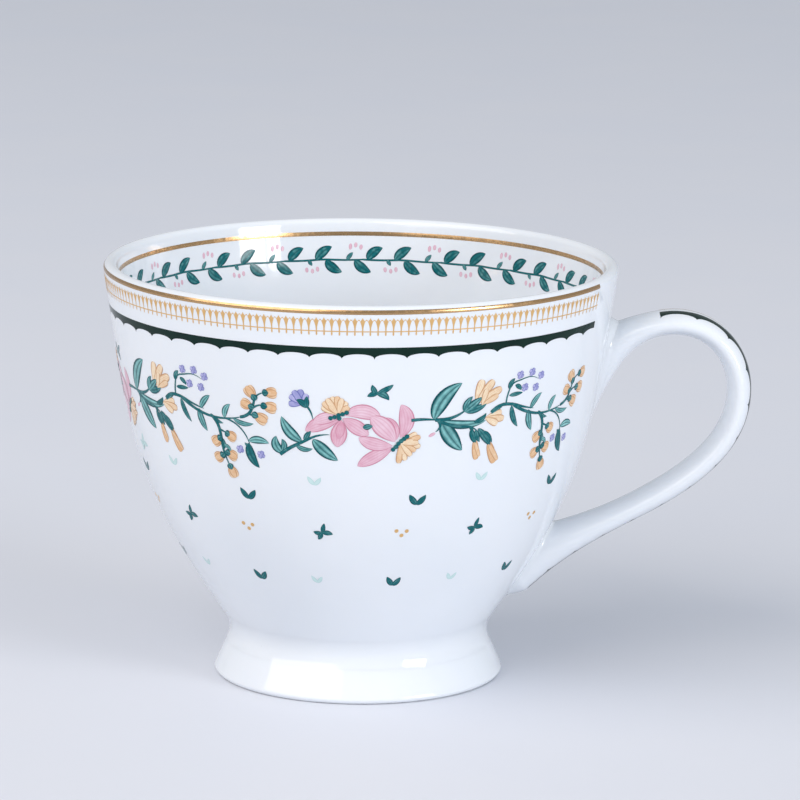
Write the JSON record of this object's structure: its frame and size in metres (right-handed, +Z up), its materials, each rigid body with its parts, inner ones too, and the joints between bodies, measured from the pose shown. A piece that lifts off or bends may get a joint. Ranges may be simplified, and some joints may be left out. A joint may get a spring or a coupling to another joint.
{
  "type": "teacup",
  "caption": "Porcelain teacup with a flaring bowl on a pedestal foot, an ear-shaped strap handle and fired-on floral and gilt decoration, for serving hot tea.",
  "frame": {"origin": "centre of the rectangle that the whole cup covers, on the surface that it stands on; the cup's own axis stands 12.45 mm from it towards -X", "axes": "+Z up along the cup's axis, +X from the cup's axis towards the handle, -Y the front of the cup as it is shown, with the handle to the right"},
  "size_m": [0.1202, 0.0952, 0.0772],
  "materials": {
    "glazed_porcelain": "gloss",
    "bare_porcelain": "matte",
    "gilding": "polished",
    "dark_green_enamel": "gloss",
    "leaf_green_enamel": "gloss",
    "pale_green_enamel": "gloss",
    "pink_enamel": "gloss",
    "apricot_enamel": "gloss",
    "violet_enamel": "gloss"
  },
  "bodies": {
    "root": {"bowl": "glazed_porcelain", "foot": "glazed_porcelain", "foot_slip_joint": "glazed_porcelain", "handle": "glazed_porcelain", "upper_slip_joint": "glazed_porcelain", "lower_slip_joint": "glazed_porcelain", "rim_gilt_line": "gilding", "gilt_picket_frieze": "gilding", "green_scallop_band": "dark_green_enamel", "flower_garland": "leaf_green_enamel", "inner_gilt_line": "gilding", "inner_leaf_border": "leaf_green_enamel", "handle_green_stripe": "dark_green_enamel", "handle_gilt_line": "gilding"}
  },
  "joints": []
}
